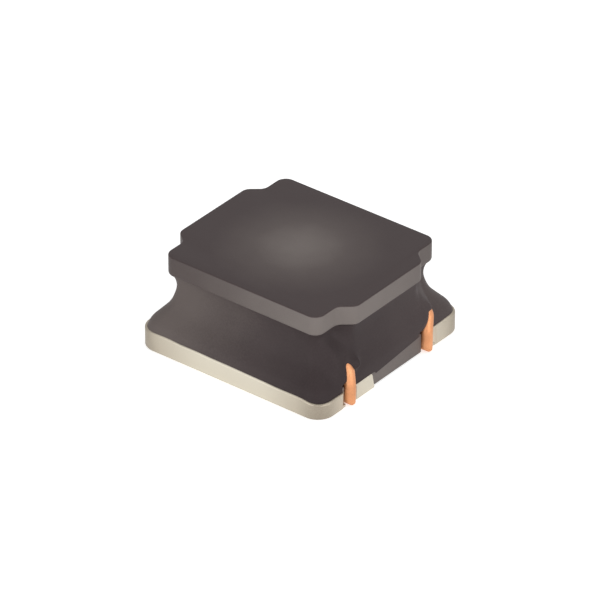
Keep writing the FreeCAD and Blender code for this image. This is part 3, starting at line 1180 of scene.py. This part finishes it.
    def build(self, winding: Winding, finish: bpy.types.Material) -> bpy.types.Object:
        """Builds the ring: up the outside, in to the bore, and down it.

        A lip is added below the wall. Along +X the outside is the smooth lower envelope of
        the wall and the leads' ways: half their sum less half the root of their squared
        difference plus a square.

        Args:
            winding: The winding, for the leads.
            finish: The resin.

        Returns:
            The piece.
        """
        low, high = self.base.high, self.core.cap_low
        foot = self.outline(1.0, 0.0)
        hem_height = (low - self.lip(foot))[None]
        face = foot - outward(foot) * (self.base.plating - self.ledge - self.seat_gap)
        hem = np.dstack([foot[None], hem_height])
        tuck = np.dstack([face[None], hem_height])
        seat = np.dstack([face[None], np.full((1, len(face)), low)])
        outer = np.concatenate([seat, tuck, hem, self.wall(winding)[1:]])
        for edge in Edge:
            wall = outer[..., 0]
            way = self.way(outer, winding, edge)
            way[:2] -= self.way_hem
            joined = (wall + way - np.sqrt((wall - way) ** 2 + self.way_round**2)) / 2
            outer[..., 0] = np.where(wall > self.lead_side, joined, wall)
        spokes = foot / np.linalg.norm(foot, axis=1, keepdims=True)
        bore = stacked(spokes * self.bore, np.array([[0.0, high], [0.0, low]]))
        ring = [np.concatenate([outer, bore])]
        return make_piece("resin_ring", "magnetic_resin", finish, ring, True)


@dataclass
class PlatedTerminal:
    """Terminal skin: a pad under one edge of the base and a band up its side.

    The slant is that of the band's end past the lead, and the chamfer that of its end
    before the lead. A band that doesn't run on past the lead has only the second.
    """

    edge: Edge
    base: Base
    band_end: float
    pad_end: float
    slant: float = 0.0
    chamfer: float = 0.13
    past_lead: bool = True
    top_round: float = 0.05
    low_round: float = 0.05
    end_round: float = 0.03
    cut_round: float = 0.01
    end_lean: float = 0.35
    wave_mm: float = 0.008
    wave_length: float = 0.9
    band_low: float = 0.002
    band_drop: float = 0.006
    band_points: int = 420
    round_points: int = 6
    pad_inset: float = 0.03
    pad_corner: float = 0.032
    pad_lower_round: float = 0.03
    pad_upper_round: float = 0.01
    pad_step: float = 0.02
    pad_draw: float = 0.08
    pad_end_draw: float = 0.09

    def path(self) -> tuple[np.ndarray, np.ndarray]:
        """Plan line of the band's outer face on the front side, from -X round to +X.

        It is the base's rounded outline, cut at the band's ends and spaced evenly.

        Returns:
            Points and outward normals, both of shape (n, 2).
        """
        x, y = self.base.half_x, self.base.half_y
        corners = np.array([(-x, 0), (-x, -y), (x, -y), (x, 0)])
        radii = np.full(4, self.base.corner)
        radii[[0, -1]] = self.cut_round
        loop = rounded_outline(corners, radii, arc_points=24, run_points=60)
        kept = loop[:, 1] < -self.band_end
        line, normals = loop[kept], outward(loop)[kept]
        steps = np.linalg.norm(np.diff(line, axis=0), axis=1)
        run = np.concatenate([[0], np.cumsum(steps)])
        even = np.linspace(0, run[-1], self.band_points)
        line, normals = (
            np.stack([np.interp(even, run, values[:, i]) for i in (0, 1)], axis=1)
            for values in (line, normals)
        )
        normals /= np.linalg.norm(normals, axis=1, keepdims=True)
        return line, normals

    def strip(
        self, line: np.ndarray, normals: np.ndarray, slant: float, chamfer: float
    ) -> np.ndarray:
        """Closed strip along part of the path, with round long edges and soft ends.

        The section is a rectangle as deep as the plating with round outer edges, whose top
        follows the band's height. The end rings shrink by a quarter circle, and the last
        ones lean back by the slant at their top and by the chamfer on their outer face.

        Args:
            line: Plan points of the outer face.
            normals: Their outward normals.
            slant: How far the last end leans back at its top.
            chamfer: How far it leans back on its outer face.

        Returns:
            Grid of points, shape (n, section points, 3).
        """
        turn = np.linspace(0, math.pi / 2, self.round_points)
        low = self.low_round * (1 - np.stack([np.sin(turn), np.cos(turn)], 1))
        top = self.top_round * (1 - np.stack([np.cos(turn), np.sin(turn)], 1))
        thick = self.base.plating
        depth = np.concatenate([low[:, 0], top[:, 0], [thick, thick]])
        rise = np.concatenate([low[:, 1], -top[:, 1], [0.0, 0.0]])
        upper = np.concatenate([np.zeros(len(turn)), np.ones(len(turn)), [1.0, 0.0]])
        run = np.concatenate([[0], np.cumsum(np.linalg.norm(np.diff(line, axis=0), axis=1))])
        near = np.clip(np.minimum(run, run[-1] - run) / self.end_round, 0, 1)
        shrink = self.end_round * (1 - np.sqrt(1 - (1 - near) ** 2))
        side = -self.edge.value * line[:, 1]
        places = np.column_stack([line[:, 0], side, np.zeros(len(line))])
        fall = self.base.fall(line[:, 0]) if self.edge is Edge.FRONT else 0.0
        wave = self.wave_mm * ripple(places, self.wave_length, seed=8)
        high = self.base.high - fall + wave - self.band_drop
        reach = depth[None] + shrink[:, None] * (depth < thick)[None]
        height = rise[None] + upper[None] * high[:, None]
        height = height + shrink[:, None] * (1 - 2 * upper[None]) + self.band_low
        plan = line[:, None] - reach[..., None] * normals[:, None]
        lean = ease(1 - (run[-1] - run) / self.end_lean)[:, None]
        plan[..., 1] -= lean * (slant * height / self.base.high + chamfer * (1 - depth / thick))
        return np.dstack([plan, height])

    def pad_outline(self, place: float) -> np.ndarray:
        """Pad outline on the front side, with the lead's way cut in from +X.

        Args:
            place: The lead's y on the front side, below zero.

        Returns:
            Plan points, anticlockwise.
        """
        base = self.base
        x, y = base.half_x - self.pad_inset, base.half_y - self.pad_inset
        inner = x if self.past_lead else x - base.plating - self.pad_draw
        ends = -self.band_end - self.pad_step
        corners = [(-x, -y), (x, -y)]
        corners += base.way(place, base.groove_start, base.groove_half, x)[:3]
        corners += [(inner, place + base.notch_half), (inner, ends)]
        corners += [(x - base.plating - self.pad_end_draw, -self.pad_end)]
        corners += [(base.plating - x, -self.pad_end), (-x, ends)]
        radii = np.full(len(corners), self.pad_corner)
        radii[:2] = base.corner - self.pad_inset
        radii[3:5] = base.inner_round
        return rounded_outline(np.array(corners), radii, arc_points=8, run_points=10)

    def build(self, winding: Winding, finish: bpy.types.Material) -> bpy.types.Object:
        """Builds pad and band on the front side, and mirrors them for the rear terminal.

        Args:
            winding: The winding, for the lead's place.
            finish: The plating.

        Returns:
            The piece.
        """
        base = self.base
        place = -abs(winding.lead(self.edge).place)
        line, normals = self.path()
        on_side = (line[:, 0] > 0) & (line[:, 1] > -base.half_y + base.corner)
        main = (line[:, 1] < place - base.notch_half) | ~on_side
        short = on_side & (line[:, 1] > place + base.notch_half)
        rounds = self.pad_lower_round, self.pad_upper_round
        grids = [
            np.flip(self.strip(line[main], normals[main], 0.0, self.chamfer), axis=1),
            stacked(self.pad_outline(place), edge_profile(0.0, base.plating, *rounds)),
        ]
        if self.past_lead:
            strip = self.strip(line[short], normals[short], self.slant, 0.0)
            grids.append(np.flip(strip, axis=1))
        if self.edge is Edge.REAR:
            grids = [np.flip(grid, axis=1) * [1, -1, 1] for grid in grids]
        node = f"terminal_{self.edge.name.lower()}"
        return make_piece(f"{node}_plating", node, finish, grids)


@dataclass
class SolderJoint:
    """Solder that wets a lead's foot in its groove."""

    edge: Edge
    base: Base
    finish_x: float = 2.80
    corner: float = 0.05
    dip: float = 0.03
    dip_power: float = 0.6
    dimple: float = 0.004
    dimple_length: float = 0.4
    middle_share: float = 0.04
    rings: int = 14

    def build(self, place: float, finish: bpy.types.Material) -> bpy.types.Object:
        """Builds the fill as a round-cornered bar whose lower face is drawn up in the middle.

        Its lower face rises by dip times (1 - (v / half)^2) times a power of a sine along
        its length, and dimples are added.

        Args:
            place: The lead's y.
            finish: The solder.

        Returns:
            The piece.
        """
        start, end, half = self.base.groove_start, self.finish_x, self.base.groove_half
        low, high = place - half, place + half
        corners = np.array([(start, low), (end, low), (end, high), (start, high)])
        radii = np.full(len(corners), self.corner)
        outline = rounded_outline(corners, radii, arc_points=8, run_points=30)
        middle = np.array([(start + end) / 2, place])
        shrink = np.linspace(self.middle_share, 1.0, self.rings)[:, None, None]
        floor = middle + (outline - middle) * shrink
        along = (floor[..., 0] - start) / (end - start)
        lift = 1 - ((floor[..., 1] - place) / half) ** 2
        lift = lift * np.sin(math.pi * np.clip(along, 0, 1)) ** self.dip_power * self.dip
        dimples = ripple(np.dstack([floor, lift]), self.dimple_length, seed=3)
        lift += self.dimple * (1 + dimples)
        lower = np.dstack([floor, np.clip(lift, 0, None)])
        sides = stacked(outline, np.array([[0.0, self.base.groove_roof]]))
        node = f"solder_joint_{self.edge.name.lower()}"
        grids = [np.concatenate([lower, sides])]
        return make_piece(f"{node}_fill", node, finish, grids)


@dataclass
class Studio:
    """Plain pale floor, soft lamps and the camera at the photo's angle.

    A lamp's row is its name, bearing, height above the horizon, side and level. The
    camera's clip is in metres.
    """

    azimuth: float = 38.417
    elevation: float = 32.258
    focal_pixels: float = 6535.35
    distance: float = 166.95
    target: tuple[float, float, float] = (0.0, 0.0, 1.4)
    target_pixel: tuple[float, float] = (300.307, 289.627)
    clip: tuple[float, float] = (0.001, 10.0)
    world_light: float = 0.40
    lamp_distance: float = 120.0
    lamps: tuple[tuple[str, float, float, float, float], ...] = (
        ("front_left_softbox", 0, 12, 80, 0.44),
        ("front_right_softbox", 80, 12, 80, 0.40),
        ("top_softbox", 150, 70, 90, 0.22),
    )
    floor_half: float = 400.0
    floor_gap: float = 0.01
    floor_glow: float = 0.62
    paper: str = "#E8E8E8"

    def heading(self, azimuth: float, elevation: float) -> Vector:
        """Direction from the target to a place in the studio.

        Args:
            azimuth: Bearing in degrees, 0 from -Y and 90 from +X.
            elevation: Height above the horizon in degrees.

        Returns:
            Unit vector.
        """
        a, e = math.radians(azimuth), math.radians(elevation)
        return Vector((math.sin(a) * math.cos(e), -math.cos(a) * math.cos(e), math.sin(e)))

    def camera(self) -> None:
        """Sets a long lens on the fitted line of sight.

        The aim is moved off the target along the picture's own axes, by pixels times
        distance over focal length, so that the target falls on its measured pixel.
        """
        a = math.radians(self.azimuth)
        back = self.heading(self.azimuth, self.elevation)
        right = Vector((math.cos(a), math.sin(a), 0))
        above = back.cross(right)
        scale = self.distance / self.focal_pixels
        middle = PHOTO_PIXELS / 2
        aim = Vector(self.target) - right * (self.target_pixel[0] - middle) * scale
        aim += above * (self.target_pixel[1] - middle) * scale
        data = bpy.data.cameras.new("camera")
        data.sensor_width = SENSOR_MM
        data.lens = self.focal_pixels / PHOTO_PIXELS * SENSOR_MM
        data.clip_start, data.clip_end = self.clip
        made = bpy.data.objects.new("camera", data)
        made.location = (aim + back * self.distance) * MM
        made.rotation_euler = back.to_track_quat("Z", "Y").to_euler()
        bpy.context.scene.collection.objects.link(made)
        bpy.context.scene.camera = made

    def lamp(
        self, name: str, azimuth: float, elevation: float, size: float, level: float
    ) -> None:
        """Adds a square soft lamp aimed at the object.

        Its power is level times pi squared times distance squared, which lights a facing
        white surface to that level.

        Args:
            name: Name of the lamp.
            azimuth: Bearing in degrees, 0 from -Y and 90 from +X.
            elevation: Height above the horizon in degrees.
            size: Side in millimetres.
            level: Light on a facing surface, 1 for a colour as written.
        """
        heading = self.heading(azimuth, elevation)
        data = bpy.data.lights.new(name, "AREA")
        data.size = size * MM
        data.energy = level * math.pi**2 * (self.lamp_distance * MM) ** 2
        made = bpy.data.objects.new(name, data)
        made.location = (Vector(self.target) + heading * self.lamp_distance) * MM
        made.rotation_euler = heading.to_track_quat("Z", "Y").to_euler()
        made.visible_camera = False
        bpy.context.scene.collection.objects.link(made)

    def seen(self, tree: bpy.types.NodeTree) -> bpy.types.NodeSocket:
        """1 for camera, glossy and transmission rays, which see the white background.

        Args:
            tree: The node tree.

        Returns:
            Socket of 1 or 0.
        """
        path = add(tree, "LightPath")
        total = path.outputs["Is Camera Ray"]
        for name in ("Is Glossy Ray", "Is Transmission Ray"):
            total = add(
                tree, "Math", {0: total, 1: path.outputs[name]}, operation="MAXIMUM"
            ).outputs[0]
        return total

    def world(self) -> None:
        """Even grey light, white to the camera and in reflections."""
        world = bpy.data.worlds.new("studio")
        bpy.context.scene.world = world
        world.use_nodes = True
        tree = world.node_tree
        tree.nodes.clear()
        strength = add(
            tree,
            "MapRange",
            {"Value": self.seen(tree), "To Min": self.world_light, "To Max": 1.0},
        ).outputs["Result"]
        glow = add(tree, "Background", {"Color": (1, 1, 1, 1), "Strength": strength})
        add(tree, "OutputWorld", {"Surface": glow.outputs["Background"]})

    def floor(self) -> None:
        """White paper that shows white to the camera, with a faint shadow kept."""
        mesh = bpy.data.meshes.new("paper_floor")
        corners = np.array([(-1, -1), (1, -1), (1, 1), (-1, 1)]) * self.floor_half
        points = np.concatenate([corners, np.full((4, 1), -self.floor_gap)], axis=1) * MM
        mesh.from_pydata(points, [], [(0, 1, 2, 3)])
        made = bpy.data.objects.new("paper_floor", mesh)
        bpy.context.scene.collection.objects.link(made)
        material, tree = blank("White studio paper")
        paper = add(tree, "BsdfDiffuse", {"Color": linear(self.paper)})
        seen = self.seen(tree)
        glow = add(tree, "Math", {0: seen, 1: self.floor_glow}, operation="MULTIPLY").outputs[0]
        light = add(tree, "Emission", {"Color": (1, 1, 1, 1), "Strength": glow})
        both = add(tree, "AddShader", {0: paper.outputs[0], 1: light.outputs[0]})
        add(tree, "OutputMaterial", {"Surface": both.outputs[0]})
        mesh.materials.append(material)

    def build(self) -> None:
        """Sets the whole studio."""
        bpy.context.scene.view_settings.view_transform = "Standard"
        self.camera()
        self.world()
        self.floor()
        for row in self.lamps:
            self.lamp(*row)


def write_sizes() -> None:
    """Brings the scene's transforms up to date."""
    bpy.context.view_layer.update()


def main() -> None:
    """Builds every piece and the studio, in order."""
    logging.basicConfig(level=logging.INFO, format="%(name)s %(message)s")
    base, winding = Base(), Winding()
    core = DrumCore(base)
    core.build(winding, SINTERED_FERRITE.material())
    winding.build(ENAMELLED_COPPER.material())
    MagneticResin(base, core).build(winding, FERRITE_RESIN.material())
    tin, solder = TIN_PLATING.material(), REFLOWED_SOLDER.material()
    front = PlatedTerminal(Edge.FRONT, base, band_end=0.72, pad_end=0.66, slant=0.12)
    rear = PlatedTerminal(Edge.REAR, base, band_end=1.12, pad_end=1.06, past_lead=False)
    for terminal in (front, rear):
        terminal.build(winding, tin)
        SolderJoint(terminal.edge, base).build(winding.lead(terminal.edge).place, solder)
    Studio().build()
    write_sizes()


if __name__ == "__main__":
    main()
